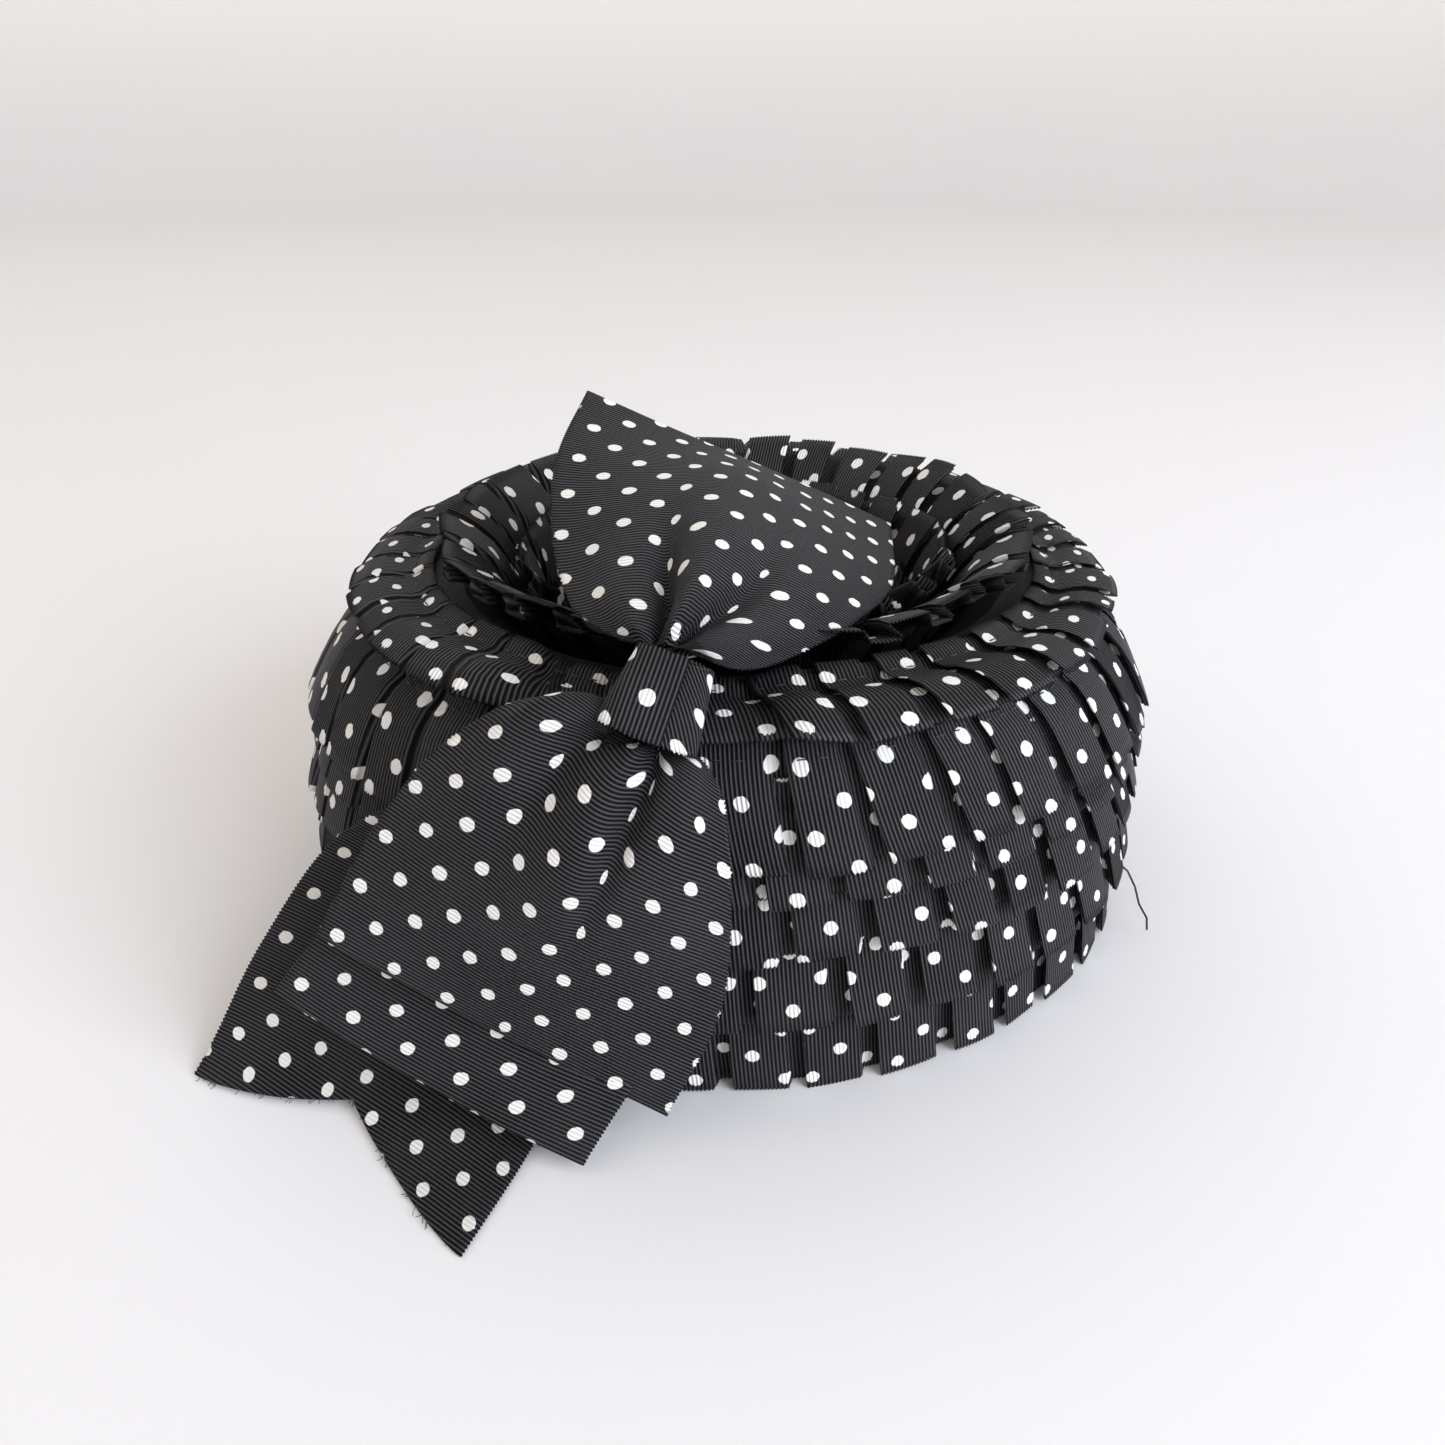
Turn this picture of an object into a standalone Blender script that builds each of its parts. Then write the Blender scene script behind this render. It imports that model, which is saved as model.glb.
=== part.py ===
"""Dress hat covered in knife-pleated polka-dot ribbon, with a large ribbon bow on its front edge.

Metres, +Z up, the front of the hat toward -Y. Lengths below are in millimetres. Every piece is placed
from the hat's own upright axis, which the empty "hat_axis" holds. Moving pieces hang from an empty on
their hinge line.
"""
import math

import bmesh
import bpy
import numpy as np
from mathutils import Matrix, Vector

MM = 0.001
HAT_NAME = "ribbon_hat"
HAT_AXIS = (3.34, 17.36)         # place of the hat's axis from the middle of the whole object

# Ribbon and cloth
RIBBON_WIDTH = 25.0             # one inch ribbon: rows, knot band, head-size ribbon
RIBBON_THICK = 0.6
NET_THICK = 0.9
LINING_THICK = 0.6
LINING_GAP = 1.6

# Head shape: half depth, half width and height of the net foundation, from the base edge to the middle of
# the pushed-in crown. The base is an oval, and the rim above it is nearly round.
SHAPE = (
    (81.0, 96.4, 0.0), (81.0, 96.4, 18.0), (80.0, 95.2, 36.0), (78.6, 92.8, 48.0), (77.8, 90.4, 58.0),
    (77.4, 86.6, 68.0), (76.4, 81.0, 75.5), (72.8, 75.5, 81.0), (67.0, 69.5, 83.5), (60.0, 63.0, 82.0),
    (53.0, 56.0, 77.0), (46.0, 49.0, 68.5), (38.0, 41.0, 59.0), (27.0, 30.0, 51.5), (14.0, 16.0, 47.5),
    (0.5, 0.6, 46.0),
)
OVAL = SHAPE[0][1] / SHAPE[0][0]
LEAN = 2.5                       # the rim sits this far to +X of the base
RIDGE_AT = 87.5                  # distance along the shape from the base edge to the top ridge
RIDGE_GAP = 1.5
TURN_STEPS = 36

# Edge
BINDING_HEIGHT = 9.0
BINDING_HALF = 1.6
WIRE_RADIUS = 0.65
WIRE_GAP = 0.35
FOUNDATION_LIFT = 3.2

# Rows: name, pleats, then (run along the shape, lift above the net) from stitched edge to free edge
SIDE_PLEATS = 40
BOW_ANGLE = math.radians(-103)   # where the bow presses the top row flat
PRESS_HALF = math.radians(13)
PRESS_FADE = math.radians(9)
PRESSED_LIFT = 0.4
SIDE_PRESS = 0.42                # the top row lies closer at the two sides, where the rim is narrower
PRESSED_ROW = "side_row_1"
PLEAT_RISE = (1.0, 2.4)          # height of a fold at the stitched edge and at the free edge
PLEAT_RUN = 0.86                 # share of a pleat taken by its visible slope
ROWS = (
    ("side_row_6", SIDE_PLEATS, ((25.0, 0.8), (12.7, 2.3), (0.4, 3.2))),
    ("side_row_5", SIDE_PLEATS, ((42.5, 0.8), (30.0, 2.1), (17.5, 3.8))),
    ("side_row_4", SIDE_PLEATS, ((59.0, 0.8), (46.5, 2.1), (34.0, 3.9))),
    ("side_row_3", SIDE_PLEATS, ((71.5, 0.8), (59.0, 2.1), (46.5, 4.4))),
    ("side_row_2", SIDE_PLEATS, ((79.5, 0.8), (67.0, 3.7), (54.5, 5.6))),
    ("side_row_1", SIDE_PLEATS, ((89.5, 2.6), (84.5, 1.8), (82.0, 6.0), (79.0, 9.0), (75.5, 9.4))),
    ("crown_row_1", 30, ((115.0, 1.5), (107.0, 2.2), (99.0, 4.4), (91.0, 5.6))),
    ("crown_row_2", 24, ((127.0, 1.5), (119.0, 3.6), (111.0, 6.0), (103.0, 7.8))),
    ("crown_row_3", 18, ((138.0, 1.5), (130.0, 3.6), (122.0, 6.0), (114.0, 8.2))),
    ("crown_row_4", 14, ((148.0, 1.5), (141.0, 3.6), (133.0, 6.0), (126.0, 8.2))),
)
CENTRE_DISC_RADIUS = 11.0
CENTRE_DISC_LIFT = 2.6

# Bow: sections from the waist out to the fold and back, each as left edge, middle and right edge
UPPER_LOOP = (
    ((-17, -77, 99.0), (-9.5, -79.5, 99.5), (-3, -79, 97.5)),
    ((-24, -70, 100.5), (-4, -68, 105.0), (10, -71, 96.0)),
    ((-32, -49, 108.0), (0, -48, 109.0), (27, -50, 94.5)),
    ((-33, -28, 116.0), (3, -26, 109.0), (36, -28, 92.0)),
    ((-29, -3, 122.0), (5, -1, 107.0), (40, 5, 89.0)),
    ((-32, -27, 109.0), (2, -25, 101.5), (34, -27, 88.0)),
    ((-30, -47, 102.0), (0, -47, 101.5), (24, -48, 91.0)),
    ((-23, -66, 97.0), (-5, -66, 99.5), (7, -68, 93.5)),
    ((-16, -75, 96.0), (-10, -77, 96.5), (-4, -77, 95.0)),
)
LOWER_LOOP = (
    ((-19, -87.0, 79.3), (-12.5, -89.0, 78.8), (-6, -89.5, 77.3)),
    ((-30, -88.5, 84.5), (-18, -95, 79.0), (-1, -94, 75.0)),
    ((-50, -87, 78.0), (-26, -101, 66.0), (1, -99, 60.0)),
    ((-64, -88, 62.0), (-34, -100, 47.0), (-1, -100, 34.0)),
    ((-76, -88, 42.0), (-43, -98, 27.0), (-11, -103, 10.0)),
    ((-62, -83, 59.0), (-34, -93.5, 45.0), (-3, -96, 33.0)),
    ((-48, -81, 72.0), (-27, -92, 63.0), (-2, -93.5, 58.0)),
    ((-30, -82.5, 80.0), (-18, -90, 75.0), (-4, -91.5, 72.0)),
    ((-19, -85.0, 77.7), (-13, -87.4, 76.8), (-7, -88.4, 75.7)),
)
SECOND_LOOP = (
    ((-21, -83, 77.0), (-14, -86, 75.0), (-7, -87.5, 74.5)),
    ((-45, -80.5, 66.0), (-25, -90.0, 59.0), (-5, -92.3, 55.0)),
    ((-68, -81, 48.0), (-39, -90.5, 37.0), (-11, -95, 26.0)),
    ((-87, -86, 27.0), (-57, -97, 14.0), (-26, -107, 3.4)),
    ((-66, -77.5, 46.0), (-39, -87.5, 35.0), (-13, -91.8, 23.0)),
    ((-44, -78.0, 64.0), (-25, -87.9, 57.0), (-6, -90.6, 53.0)),
    ((-21, -81.6, 75.0), (-14, -84.7, 73.0), (-8, -86.3, 72.5)),
)
TAIL = (
    ((-23, -79.5, 75.5), (-16, -83, 72.5), (-9, -85.2, 71.0)),
    ((-49, -73.5, 66.0), (-32, -83.1, 54.0), (-13, -88.5, 47.0)),
    ((-76, -66, 50.0), (-52, -79.5, 32.0), (-24, -88.5, 20.0)),
    ((-95, -71, 26.0), (-66, -82, 13.0), (-33, -94, 5.0)),
    ((-106, -78, 7.0), (-74, -90, 3.0), (-38, -104, 1.2)),
    ((-110, -83, 0.7), (-78, -102, 0.7), (-46, -123, 0.7)),
)
TAIL_NOTCH = 12.5
NOTCH_ROWS = 6
BOW_THICK = 0.7
BOW_STEPS = 3                    # mesh steps between two sections
BOW_ACROSS = 6

KNOT_CENTRE = (-10.0, -84.0, 90.5)
KNOT_AXIS = (0.37, 0.45, 0.81)
KNOT_LENGTH = 13.0
KNOT_RADIUS = 8.8
KNOT_FLATNESS = 0.56
KNOT_WALL = 0.9
CORE_GAP = 0.9
CORE_LENGTH = 11.6
STAY_SIZE = (9.0, 3.2, 4.8)
STAY_CENTRE = (-10.0, -75.8, 87.8)

# Hinge lines: a point on the line and its direction; the piece lifts by the right-hand rule
HINGES = {
    "upper_loop_hinge": (-10.0, -78.5, 97.5),
    "lower_loop_hinge": (-12.5, -88.0, 81.0),
    "second_loop_hinge": (-12.5, -87.5, 80.5),
    "tail_hinge": (-13.0, -87.0, 80.0),
}

THREAD_RADIUS = 0.25
THREAD_PATH = (
    (98.5, -26.0, 12.0), (100.2, -28.0, 11.0), (101.5, -31.0, 8.5), (101.8, -34.5, 6.0),
    (102.8, -38.0, 4.5), (102.0, -41.0, 3.5),
)

# Colours, linear
BLACK_RIBBON = (0.018, 0.016, 0.018, 1.0)
BLACK_NET = (0.010, 0.010, 0.011, 1.0)
LINING_BLACK = (0.014, 0.013, 0.015, 1.0)
STEEL = (0.42, 0.42, 0.43, 1.0)


def clear_scene():
    for old in list(bpy.data.objects):
        bpy.data.objects.remove(old, do_unlink=True)


def new_collection(name):
    collection = bpy.data.collections.new(name)
    bpy.context.scene.collection.children.link(collection)
    return collection


def material(name, colour, roughness, metallic=0.0):
    mat = bpy.data.materials.new(name)
    mat.use_nodes = True
    mat.diffuse_color = colour
    shader = mat.node_tree.nodes["Principled BSDF"]
    shader.inputs["Base Color"].default_value = colour
    shader.inputs["Roughness"].default_value = roughness
    shader.inputs["Metallic"].default_value = metallic
    return mat


def place(obj, collection, parent, mat):
    for old in list(obj.users_collection):
        old.objects.unlink(obj)
    collection.objects.link(obj)
    obj.parent = parent
    obj.data.materials.clear()
    obj.data.materials.append(mat)
    return obj


def empty(name, location, collection, parent=None):
    marker = bpy.data.objects.new(name, None)
    marker.empty_display_size = 0.02
    marker.location = Vector(location) * MM
    collection.objects.link(marker)
    marker.parent = parent
    return marker


def solidify(obj, thickness, offset):
    shell = obj.modifiers.new("Solidify", "SOLIDIFY")
    shell.thickness = thickness * MM
    shell.offset = offset
    shell.use_even_offset = True


# Shape of the hat

def smooth(points, steps):
    """Points on a Catmull-Rom curve through the given points, steps to each span."""
    pts = np.asarray(points, float)
    ends = np.vstack([2 * pts[0] - pts[1], pts, 2 * pts[-1] - pts[-2]])
    out = []
    for i in range(len(pts) - 1):
        before, start, end, after = ends[i:i + 4]
        for t in np.arange(steps) / steps:
            out.append(0.5 * (2 * start + (end - before) * t
                              + (2 * before - 5 * start + 4 * end - after) * t ** 2
                              + (3 * start - before - 3 * end + after) * t ** 3))
    return np.array(out + [pts[-1]])


SHAPE_CURVE = smooth(SHAPE, 8)
SHAPE_STEPS = np.linalg.norm(np.diff(SHAPE_CURVE[:, [0, 2]], axis=0), axis=1)
SHAPE_RUN = np.concatenate([[0.0], np.cumsum(SHAPE_STEPS)])
SHAPE_TOP = max(height for depth, width, height in SHAPE)


def net_point(run, angle):
    """Point on the net at a distance along its front profile and an angle round the hat."""
    depth, width, height = (np.interp(run, SHAPE_RUN, SHAPE_CURVE[:, k]) for k in range(3))
    lean = LEAN * (height / SHAPE_TOP) ** 2
    return np.array([width * math.cos(angle) + lean, depth * math.sin(angle), height])


def on_hat(run, angle, lift):
    """Point above the net, lifted square to it."""
    along = net_point(run + 1.5, angle) - net_point(run - 1.5, angle)
    around = net_point(run, angle + 0.02) - net_point(run, angle - 0.02)
    out = np.cross(around, along)
    return net_point(run, angle) + lift * out / np.linalg.norm(out)


def press(angle):
    """Share of its lift that the top row keeps; less at the two sides and where the bow presses it flat."""
    away = abs((angle - BOW_ANGLE + math.pi) % (2 * math.pi) - math.pi)
    fade = min(max((away - PRESS_HALF) / PRESS_FADE, 0.0), 1.0)
    under_bow = PRESSED_LIFT + (1 - PRESSED_LIFT) * fade * fade * (3 - 2 * fade)
    return under_bow * (1 - SIDE_PRESS * math.cos(angle) ** 2)


def turned(name, profile, closed=False):
    """A profile of (radius, height) turned round the hat's axis, drawn out to the oval."""
    bm = bmesh.new()
    verts = [bm.verts.new((radius * MM, 0, height * MM)) for radius, height in profile]
    for a, b in zip(verts, verts[1:]):
        bm.edges.new((a, b))
    if closed:
        bm.edges.new((verts[-1], verts[0]))
    mesh = bpy.data.meshes.new(name)
    bm.to_mesh(mesh)
    bm.free()
    obj = bpy.data.objects.new(name, mesh)
    obj.scale = (OVAL, 1, 1)
    screw = obj.modifiers.new("Screw", "SCREW")
    screw.steps = screw.render_steps = TURN_STEPS
    screw.use_merge_vertices = True
    screw.merge_threshold = 0.0001
    screw.use_normal_calculate = True
    screw.use_normal_flip = closed
    return obj


def sheet_object(name, grid, wrap):
    """A surface from a grid of points; wrap joins the last column to the first."""
    rows, columns = len(grid), len(grid[0])
    bm = bmesh.new()
    verts = [[bm.verts.new(Vector(p) * MM) for p in row] for row in grid]
    for i in range(rows - 1):
        for j in range(columns if wrap else columns - 1):
            k = (j + 1) % columns
            bm.faces.new((verts[i][j], verts[i][k], verts[i + 1][k], verts[i + 1][j]))
    mesh = bpy.data.meshes.new(name)
    bm.to_mesh(mesh)
    bm.free()
    return bpy.data.objects.new(name, mesh)


# Hat pieces

def shell(name, start, end, rings, lift, thickness):
    """A thin shell that follows the net's shape from one distance along it to another."""
    angles = np.arange(TURN_STEPS) * 2 * math.pi / TURN_STEPS
    grid = [[on_hat(run, angle, lift) for angle in angles] for run in np.linspace(start, end, rings)]
    obj = sheet_object(name, grid, wrap=True)
    solidify(obj, thickness, -1)
    return obj


def foundation(collection, parent, mats):
    side = shell("foundation_side", FOUNDATION_LIFT, RIDGE_AT - RIDGE_GAP / 2, 9, 0.0, NET_THICK)
    crown = shell("foundation_crown", RIDGE_AT + RIDGE_GAP / 2, SHAPE_RUN[-1], 11, 0.0, NET_THICK)
    for obj in (side, crown):
        place(obj, collection, parent, mats["net"])


def inside_pieces(collection, parent, mats):
    lining = shell("lining", RIBBON_WIDTH, SHAPE_RUN[-1] - 1.0, 11, -NET_THICK - LINING_GAP, LINING_THICK)
    place(lining, collection, parent, mats["lining"])
    inner = SHAPE[0][0] - NET_THICK - 1.8
    band = turned("head_size_ribbon", [(inner, 1.2), (inner, RIBBON_WIDTH - 2.0)])
    solidify(band, RIBBON_THICK, -1)
    place(band, collection, parent, mats["ribbon"])


def edge_pieces(collection, parent, mats):
    middle = SHAPE[0][0] - NET_THICK / 2
    outer, inner = middle + BINDING_HALF, middle - BINDING_HALF
    wall = RIBBON_THICK
    channel = [(outer, 0.0), (outer, BINDING_HEIGHT), (outer - wall, BINDING_HEIGHT), (outer - wall, wall),
               (inner + wall, wall), (inner + wall, BINDING_HEIGHT), (inner, BINDING_HEIGHT), (inner, 0.0)]
    place(turned("edge_binding", channel, closed=True), collection, parent, mats["ribbon"])
    radius = (outer + inner) / 2
    angles = np.arange(TURN_STEPS) * 2 * math.pi / TURN_STEPS
    level = wall + WIRE_RADIUS + WIRE_GAP
    ring = [(OVAL * radius * math.cos(t), radius * math.sin(t), level) for t in angles]
    place(wire("edge_wire", ring, WIRE_RADIUS, cyclic=True), collection, parent, mats["steel"])


def wire(name, points, radius, cyclic=False):
    curve = bpy.data.curves.new(name, "CURVE")
    curve.dimensions = "3D"
    curve.bevel_depth = radius * MM
    curve.bevel_resolution = 2
    curve.use_fill_caps = not cyclic
    spline = curve.splines.new("POLY")
    spline.points.add(len(points) - 1)
    for point, place_at in zip(spline.points, points):
        point.co = (*(Vector(place_at) * MM), 1)
    spline.use_cyclic_u = cyclic
    return bpy.data.objects.new(name, curve)


def pleated_row(name, pleats, stations, collection, parent, mat):
    """A ribbon row of knife pleats: each slope rises to a fold on its left, seen from outside."""
    grid = []
    for t, (run, lift) in zip(np.linspace(0.0, 1.0, len(stations)), stations):
        rise = PLEAT_RISE[0] + t * (PLEAT_RISE[1] - PLEAT_RISE[0])
        line = []
        for k in range(pleats):
            fold = 2 * math.pi * k / pleats
            dip = fold + PLEAT_RUN * 2 * math.pi / pleats
            kept = [press(angle) if name == PRESSED_ROW else 1.0 for angle in (fold, dip)]
            line.append(on_hat(run, fold, (lift + rise) * kept[0]))
            line.append(on_hat(run, dip, lift * kept[1]))
        grid.append(line)
    row = sheet_object(name, grid, wrap=True)
    solidify(row, RIBBON_THICK, -1)
    place(row, collection, parent, mat)


def centre_disc(collection, parent, mats):
    bpy.ops.mesh.primitive_cylinder_add(vertices=24, radius=CENTRE_DISC_RADIUS * MM, depth=RIBBON_THICK * MM)
    disc = bpy.context.object
    disc.name = disc.data.name = "crown_centre_disc"
    disc.scale = (OVAL, 1, 1)
    height = SHAPE[-1][2] + CENTRE_DISC_LIFT + RIBBON_THICK
    disc.location = (0, 0, height * MM)
    place(disc, collection, parent, mats["ribbon"])


# Bow pieces

def ribbon_grid(sections, notch=0.0):
    """Grid of points on a ribbon through sections of left, middle and right points."""
    along = smooth([np.ravel(s) for s in sections], BOW_STEPS)
    grid = []
    for line in along:
        left, middle, right = line.reshape(3, 3)
        row = []
        for t in np.linspace(0.0, 1.0, BOW_ACROSS + 1):
            row.append(left * (1 - t) * (1 - 2 * t) + middle * 4 * t * (1 - t) + right * t * (2 * t - 1))
        grid.append(row)
    grid = np.array(grid)
    if notch:
        back = grid[-2] - grid[-1]
        back /= np.linalg.norm(back, axis=1)[:, None]
        depth = notch * (1 - np.abs(np.linspace(-1, 1, BOW_ACROSS + 1)))
        for row, share in zip(grid[-NOTCH_ROWS:], np.linspace(0.0, 1.0, NOTCH_ROWS)):
            row += back * depth[:, None] * share
    return grid


def bow_piece(name, sections, hinge, collection, mat, notch=0.0):
    """A bow ribbon, hung from its hinge empty."""
    origin = np.array(HINGES[hinge.name])
    obj = sheet_object(name, ribbon_grid(sections, notch) - origin, wrap=False)
    solidify(obj, BOW_THICK, 0)
    place(obj, collection, hinge, mat)


def on_knot_axis(obj):
    """Local Z along the waist, local X across the bow, and flattened toward the hat."""
    line = Vector(KNOT_AXIS).normalized()
    out = line.cross(Vector((1, 0, 0))).normalized()
    across = out.cross(line).normalized()
    obj.location = Vector(KNOT_CENTRE) * MM
    obj.rotation_euler = Matrix((across, out, line)).transposed().to_euler()
    obj.scale = (1, KNOT_FLATNESS, 1)


def knot(collection, parent, mats):
    half = KNOT_LENGTH / 2
    inner = KNOT_RADIUS - KNOT_WALL
    ring = [(inner, -half), (inner, half), (KNOT_RADIUS, half), (KNOT_RADIUS, -half)]
    band = turned("bow_knot_band", ring, closed=True)
    band.modifiers["Screw"].steps = band.modifiers["Screw"].render_steps = 24
    on_knot_axis(band)
    place(band, collection, parent, mats["ribbon"])
    bpy.ops.mesh.primitive_cylinder_add(vertices=24, radius=(inner - CORE_GAP) * MM, depth=CORE_LENGTH * MM)
    core = bpy.context.object
    core.name = core.data.name = "bow_core"
    on_knot_axis(core)
    place(core, collection, parent, mats["ribbon"])
    bpy.ops.mesh.primitive_cube_add(size=MM)
    stay = bpy.context.object
    stay.name = stay.data.name = "bow_stay"
    stay.scale = STAY_SIZE
    stay.location = Vector(STAY_CENTRE) * MM
    place(stay, collection, parent, mats["ribbon"])


def main():
    clear_scene()
    collection = new_collection(HAT_NAME)
    mats = {
        "ribbon": material("dotted_ribbon", BLACK_RIBBON, 0.6),
        "net": material("black_net", BLACK_NET, 0.8),
        "lining": material("lining_cloth", LINING_BLACK, 0.5),
        "steel": material("edge_wire_steel", STEEL, 0.35, 1.0),
    }
    axis = empty("hat_axis", (*HAT_AXIS, 0.0), collection)
    foundation(collection, axis, mats)
    inside_pieces(collection, axis, mats)
    edge_pieces(collection, axis, mats)
    for row in ROWS:
        pleated_row(*row, collection, axis, mats["ribbon"])
    centre_disc(collection, axis, mats)
    place(wire("loose_thread", THREAD_PATH, THREAD_RADIUS), collection, axis, mats["net"])
    hinges = {name: empty(name, point, collection, axis) for name, point in HINGES.items()}
    bow_piece("bow_upper_loop", UPPER_LOOP, hinges["upper_loop_hinge"], collection, mats["ribbon"])
    bow_piece("bow_lower_loop", LOWER_LOOP, hinges["lower_loop_hinge"], collection, mats["ribbon"])
    bow_piece("bow_second_loop", SECOND_LOOP, hinges["second_loop_hinge"], collection, mats["ribbon"])
    bow_piece("bow_tail", TAIL, hinges["tail_hinge"], collection, mats["ribbon"], TAIL_NOTCH)
    knot(collection, axis, mats)


main()
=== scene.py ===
"""Looks of the ribbon hat: real pleats, folds, gathers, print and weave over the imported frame."""
import math

import bpy
import numpy as np
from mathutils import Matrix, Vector


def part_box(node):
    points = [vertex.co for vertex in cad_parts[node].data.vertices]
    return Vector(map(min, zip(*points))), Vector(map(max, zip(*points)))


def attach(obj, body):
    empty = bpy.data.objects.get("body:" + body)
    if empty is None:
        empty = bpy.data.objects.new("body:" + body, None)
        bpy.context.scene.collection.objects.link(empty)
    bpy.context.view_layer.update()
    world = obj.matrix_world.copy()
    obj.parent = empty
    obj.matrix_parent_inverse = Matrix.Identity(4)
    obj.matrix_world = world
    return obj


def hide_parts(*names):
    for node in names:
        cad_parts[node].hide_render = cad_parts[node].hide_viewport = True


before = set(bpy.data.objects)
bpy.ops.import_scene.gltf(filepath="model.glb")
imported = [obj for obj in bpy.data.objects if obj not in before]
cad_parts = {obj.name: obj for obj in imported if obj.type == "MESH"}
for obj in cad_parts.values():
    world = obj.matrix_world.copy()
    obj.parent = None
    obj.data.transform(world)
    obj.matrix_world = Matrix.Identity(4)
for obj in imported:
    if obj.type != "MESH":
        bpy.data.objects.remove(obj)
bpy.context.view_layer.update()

MM = 0.001
HAT_AXIS = (sum(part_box("edge_binding"), Vector()) / 2) / MM      # middle of the base oval, in mm
HAT_AXIS.z = 0.0

# Ribbon, in millimetres
RIBBON = 25.0                    # width of the rows' ribbon
BOW_RIBBON = 76.0
KNOT_RIBBON = 14.5
THICK = 0.35
RIB = 0.8                        # pitch of the grosgrain ribs
RIB_RELIEF = 0.05
SERRATION = 0.2                  # the ribs end this far out and in, by turns, at a selvedge
YARN = 0.42                      # pitch of the yarns that cross the ribs
DOT_REPEAT = 12.0                # across the corner of the dots' square lattice
DOT_RADIUS = 1.38
LINING_WEAVE = 0.35

# Threads, in millimetres
STITCH = 2.4
STITCH_GAP = 1.6
STITCH_RADIUS = 0.13
FRAYED_ENDS = 46
FRAY_REACH = 1.5
FRAY_RADIUS = 0.07

# Shape of the net under the rows, as in the CAD: half depth, half width and height
SHAPE = (
    (81.0, 96.4, 0.0), (81.0, 96.4, 18.0), (80.0, 95.2, 36.0), (78.6, 92.8, 48.0), (77.8, 90.4, 58.0),
    (77.4, 86.6, 68.0), (76.4, 81.0, 75.5), (72.8, 75.5, 81.0), (67.0, 69.5, 83.5), (60.0, 63.0, 82.0),
    (53.0, 56.0, 77.0), (46.0, 49.0, 68.5), (38.0, 41.0, 59.0), (27.0, 30.0, 51.5), (14.0, 16.0, 47.5),
    (0.5, 0.6, 46.0),
)
OVAL = SHAPE[0][1] / SHAPE[0][0]
LEAN = 2.5                       # the rim sits this far to +X of the base
NET = 0.9

# Rows: number of pleats, fold heights at the stitched and free edges, slant of the folds, disorder, then
# (run, lift) over the net from the stitched edge to the free edge
ROWS = {
    "side_row_6": (40, (1.5, 3.0), 1.5, 0.6, ((25.0, 0.8), (12.7, 2.2), (0.4, 2.8))),
    "side_row_5": (39, (1.5, 3.2), 3.0, 0.8, ((42.5, 0.8), (30.0, 2.1), (17.5, 3.6))),
    "side_row_4": (41, (1.5, 3.2), 3.4, 0.8, ((59.0, 0.8), (46.5, 2.1), (34.0, 3.7))),
    "side_row_3": (40, (1.5, 3.2), 3.6, 0.8, ((71.5, 0.8), (59.0, 2.1), (46.5, 4.0))),
    "side_row_2": (38, (1.5, 3.2), 5.0, 0.9, ((79.5, 0.8), (67.0, 3.0), (54.5, 4.8))),
    "side_row_1": (37, (1.5, 3.9), 5.0, 1.1,
                   ((89.5, 2.6), (85.0, 1.8), (82.6, 6.0), (80.2, 9.2), (77.6, 10.6))),
    "crown_row_1": (30, (1.8, 3.6), 0.0, 1.6, ((115.0, 1.5), (107.0, 2.2), (99.0, 4.4), (91.0, 5.6))),
    "crown_row_2": (24, (1.8, 3.8), 0.0, 1.8, ((127.0, 1.5), (119.0, 3.6), (111.0, 6.0), (103.0, 7.8))),
    "crown_row_3": (18, (1.8, 3.8), 0.0, 1.8, ((138.0, 1.5), (130.0, 3.6), (122.0, 6.0), (114.0, 8.2))),
    "crown_row_4": (14, (1.6, 3.4), 0.0, 1.6, ((148.0, 1.5), (141.0, 3.6), (133.0, 6.0), (126.0, 8.2))),
}
ACROSS_ROW = np.array((0.0, 2.5, 5.0, 7.5, 11.0, 15.0, 19.0, 22.5, 25.0)) / RIBBON
SEAM = 2                         # index in ACROSS_ROW of the stitch line, 5 mm from the selvedge
SEAM_DIP = 0.45                  # the stitches pull the ribbon in
LEAST_TUCK = 3.2
FACE_END, DIVE_END = 0.74, 0.85  # shares of a pleat: its flat face, then where it has dived to the bottom
STITCHED_ROWS = ("side_row_1", "side_row_2", "crown_row_1")

# The bow presses the top row flat under it, as in the CAD
BOW_ANGLE = math.radians(-103)
PRESS_HALF = math.radians(13)
PRESS_FADE = math.radians(9)
PRESSED_LIFT = 0.4
SIDE_PRESS = 0.42                # the top row lies closer at the two sides, where the rim is narrower
PRESSED_ROW = "side_row_1"

# Bow: sections from the waist to the fold, five points from the left selvedge to the right
LOWER_LOOP = (
    ((-17, -85.5, 85), (-15, -87.5, 84.5), (-12, -88, 84), (-8.5, -88, 83), (-5, -88, 82.5)),
    ((-27, -83, 89), (-21, -87.5, 88), (-15.5, -91.5, 81.5), (-7, -93, 80), (-2, -90, 80)),
    ((-37, -83, 88), (-28, -89.5, 86), (-20, -95, 76), (-8, -97, 72), (0.5, -92, 74)),
    ((-51, -84, 78), (-38, -92, 74), (-26, -99, 63), (-11, -99.5, 59), (1.5, -96, 58)),
    ((-63, -85.5, 63), (-48, -92.5, 56.5), (-33, -98, 46), (-16.5, -99, 39), (-0.5, -97.5, 33)),
    ((-75, -88, 43), (-58.5, -92.5, 35), (-42.5, -96, 27), (-26.5, -98.5, 18), (-10.5, -100.5, 9)),
)
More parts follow.
